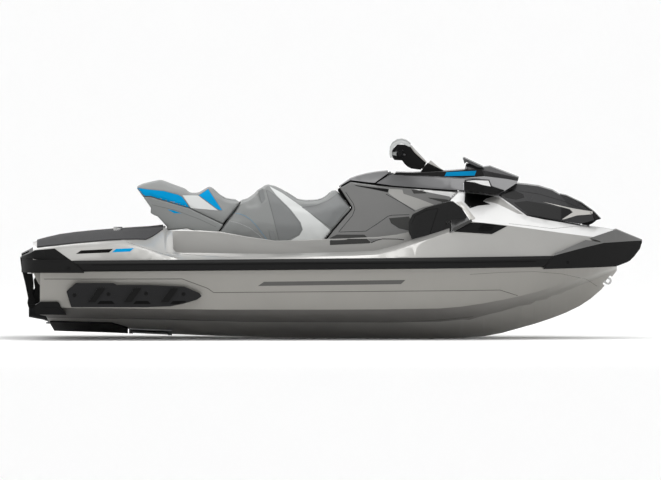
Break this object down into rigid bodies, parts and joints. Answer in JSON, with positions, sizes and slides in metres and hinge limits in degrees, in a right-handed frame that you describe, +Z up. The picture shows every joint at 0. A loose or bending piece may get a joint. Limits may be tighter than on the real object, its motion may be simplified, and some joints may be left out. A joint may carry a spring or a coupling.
{
  "type": "personal watercraft",
  "caption": "Sit-down personal watercraft with a V hull, jet drive, stepped seat, swim platform, tilting storage hood and handlebar.",
  "frame": {"origin": "centre plane at mid-length, at the level of the water when the craft floats at rest", "axes": "+X towards the bow, +Y to port, +Z up"},
  "size_m": [3.4434, 1.255, 1.1014],
  "materials": {
    "black_bumper": "satin",
    "black_metal": "satin",
    "black_moulding": "satin",
    "black_trim": "satin",
    "cast_alloy": "satin",
    "console_moulding": "satin",
    "dark_glass": "satin",
    "deck_gelcoat": "gloss metallic",
    "engine_block": "satin",
    "foam_mat": "satin",
    "grey_moulding": "satin",
    "grip_rubber": "satin",
    "hull_gelcoat": "gloss metallic",
    "mirror_glass": "satin",
    "mirror_shell": "satin",
    "pale_gelcoat": "gloss",
    "seat_vinyl": "satin",
    "silver_moulding": "satin",
    "stainless": "satin",
    "strap_webbing": "satin"
  },
  "bodies": {
    "craft": {"bow_bumper": "black_bumper", "bow_eye": "stainless", "bucket_brackets": "cast_alloy", "cargo_anchors": "stainless", "console": "console_moulding", "corner_trims": "black_trim", "deck": "deck_gelcoat", "engine": "engine_block", "footwell_mats": "foam_mat", "front_cowl": "pale_gelcoat", "gunwale_rails": "black_bumper", "hood_hinge": "cast_alloy", "hull": "hull_gelcoat", "intake_grate": "cast_alloy", "ladder_brackets": "cast_alloy", "platform_mat": "foam_mat", "pump_housing": "cast_alloy", "ride_plate": "cast_alloy", "seat_front": "seat_vinyl", "seat_rear": "seat_vinyl", "seat_strap": "strap_webbing", "seat_tail_shell": "console_moulding", "side_vents": "black_trim", "speakers": "black_trim", "sponsons": "black_trim", "stern_bumper": "black_bumper", "storage_bin": "black_trim", "tow_eyes": "stainless"},
    "hood": {"bonnet": "black_moulding", "gauge_pod": "black_trim", "gauge_screen": "dark_glass", "hood": "grey_moulding", "hood_deck": "black_trim", "mirror_glasses": "mirror_glass", "mirror_housings": "mirror_shell", "nose_cover": "black_moulding", "steering_base": "silver_moulding", "wind_deflector": "black_moulding"},
    "handlebar": {"grips": "grip_rubber", "handlebar": "black_metal", "neck_cover": "silver_moulding", "palm_rests": "grip_rubber", "steering_neck": "black_trim"},
    "glovebox_lid": {"glovebox_lid": "grey_moulding"},
    "nozzle": {"steering_nozzle": "cast_alloy"},
    "bucket": {"reverse_bucket": "black_trim"},
    "shaft": {"impeller": "stainless", "drive_shaft": "stainless"},
    "ladder": {"boarding_ladder": "black_trim"}
  },
  "joints": [
    {"name": "storage_hood_hinge", "type": "hinge", "parent": "craft", "child": "hood", "pos_m": [1.42596, 0, 0.37942], "axis": [0, 1, 0], "range_deg": [0, 42]},
    {"name": "steering", "type": "hinge", "parent": "hood", "child": "handlebar", "pos_m": [0.51501, 0, 0.66856], "axis": [-0.783, 0, 0.622], "range_deg": [-22, 22]},
    {"name": "glovebox_hinge", "type": "hinge", "parent": "hood", "child": "glovebox_lid", "pos_m": [0.32894, 0, 0.632], "axis": [0, 1, 0], "range_deg": [0, 60]},
    {"name": "nozzle_pivot", "type": "hinge", "parent": "craft", "child": "nozzle", "pos_m": [-1.56071, 0, -0.12009], "axis": [0, 0, 1], "range_deg": [-22, 22]},
    {"name": "reverse_bucket_hinge", "type": "hinge", "parent": "craft", "child": "bucket", "pos_m": [-1.56071, 0, -0.12009], "axis": [0, -1, 0], "range_deg": [0, 75]},
    {"name": "drive_shaft_spin", "type": "hinge", "parent": "craft", "child": "shaft", "pos_m": [-1.28871, 0, -0.12009], "axis": [1, 0, 0], "continuous": true},
    {"name": "ladder_hinge", "type": "hinge", "parent": "craft", "child": "ladder", "pos_m": [-1.65301, 0, -0.08854], "axis": [0, -1, 0], "range_deg": [0, 160]}
  ],
  "couplings": [
    {"joint": "nozzle_pivot", "follows": "steering", "ratio": -1}
  ]
}
